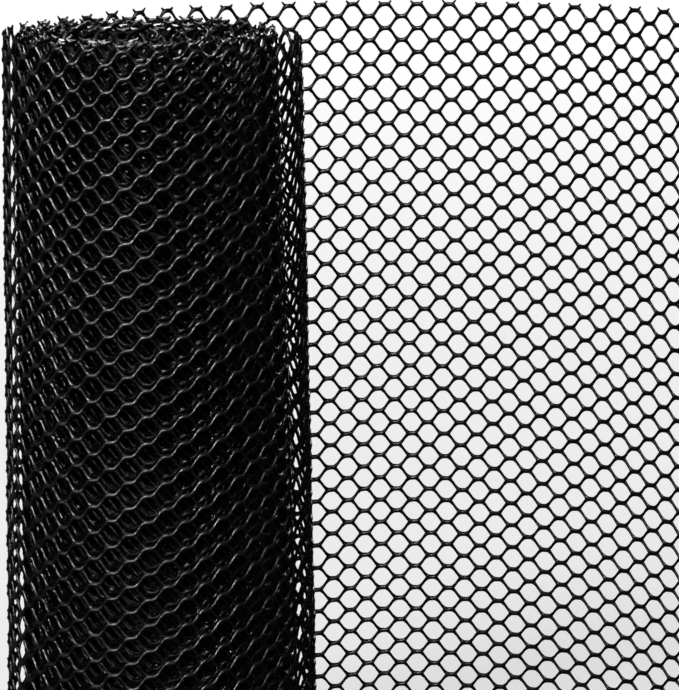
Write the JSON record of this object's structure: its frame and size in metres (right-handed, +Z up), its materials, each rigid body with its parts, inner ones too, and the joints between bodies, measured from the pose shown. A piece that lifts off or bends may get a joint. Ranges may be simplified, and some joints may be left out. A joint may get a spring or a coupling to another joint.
{
  "type": "roll of plastic chicken wire",
  "caption": "Upright roll of black hexagonal plastic netting with a loose outer wrap and its free end led round the back in a wide curl, for fencing, plant support and bird guards.",
  "frame": {"origin": "on the floor, under the middle of the box round the roll and its loose end", "axes": "+Z up along the roll's axis, which is the net's width; +X along the loose end, away from the roll; +Y towards the back, where the loose end swings round behind the roll"},
  "size_m": [0.3756, 0.2324, 0.406],
  "materials": {
    "net_plastic": "satin black extruded polyethylene"
  },
  "bodies": {
    "root": {"net_roll": "net_plastic", "loose_end": "net_plastic"}
  },
  "joints": []
}
